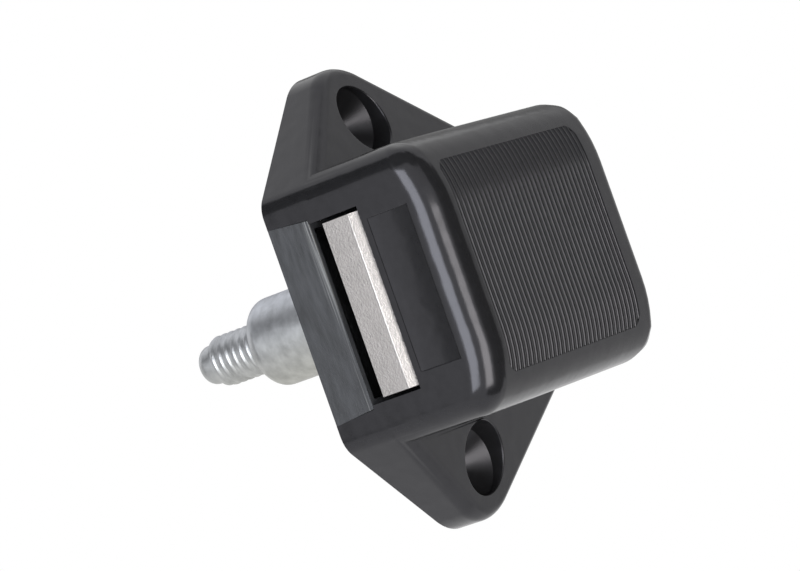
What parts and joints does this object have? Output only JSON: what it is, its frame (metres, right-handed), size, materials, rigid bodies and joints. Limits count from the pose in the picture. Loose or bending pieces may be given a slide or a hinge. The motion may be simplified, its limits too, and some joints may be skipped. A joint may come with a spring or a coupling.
{
  "type": "push_button_lock",
  "caption": "Push-button lock body with screw lugs, a ribbed moulded housing, a sliding metal bolt in its end face and a threaded push rod.",
  "frame": {"origin": "Where the push rod's axis meets the mounting face, midway between the two lug holes.", "axes": "+Y out of the mounting face along the push rod; +Z along the line of the two lug holes; the bolt leaves the box towards -X; +X to the blind end."},
  "size_m": [0.0372, 0.0473, 0.0532],
  "materials": {
    "black_plastic": "black moulded plastic, satin to glossy, ribbed on its front face",
    "grey_plastic": "dark grey moulded plastic, matt, faintly streaked",
    "inner_plastic": "natural acetal, matt",
    "zinc_plated_steel": "turned steel, bright zinc plating with a faint blue tint",
    "nickel_plate": "cast metal with satin nickel plating, fine grain",
    "screw_steel": "plain zinc-plated steel",
    "spring_steel": "drawn spring wire and strip"
  },
  "bodies": {
    "lock_body": {"housing": "black_plastic", "base_plate": "grey_plastic", "plate_screws": "screw_steel", "cam_plate": "inner_plastic", "return_spring": "spring_steel", "bolt_spring_upper": "spring_steel", "bolt_spring_lower": "spring_steel"},
    "rod_group": {"push_rod": "zinc_plated_steel", "slide_block": "inner_plastic", "cross_pin": "screw_steel", "follower_spring": "spring_steel"},
    "bolt": {"latch_bolt": "nickel_plate"},
    "follower": {"cam_follower": "spring_steel"}
  },
  "joints": [
    {"name": "rod_slide", "type": "slide", "parent": "lock_body", "child": "rod_group", "axis": [0, -1, 0], "range_m": [0, 0.0075], "stiffness_N_per_m": 400, "springref_m": -0.006, "deforming": ["return_spring"]},
    {"name": "bolt_slide", "type": "slide", "parent": "lock_body", "child": "bolt", "axis": [-1, 0, 0], "range_m": [0, 0.009], "deforming": ["bolt_spring_upper", "bolt_spring_lower"]},
    {"name": "follower_swing", "type": "hinge", "parent": "rod_group", "child": "follower", "pos_m": [0.0076, -0.00685, 0], "axis": [1, 0, 0], "range_deg": [0, 30]}
  ],
  "couplings": [
    {"joint": "bolt_slide", "follows": "rod_slide", "ratio": 1.2},
    {"joint": "follower_swing", "follows": "rod_slide", "rad_per_m": 69.813}
  ]
}
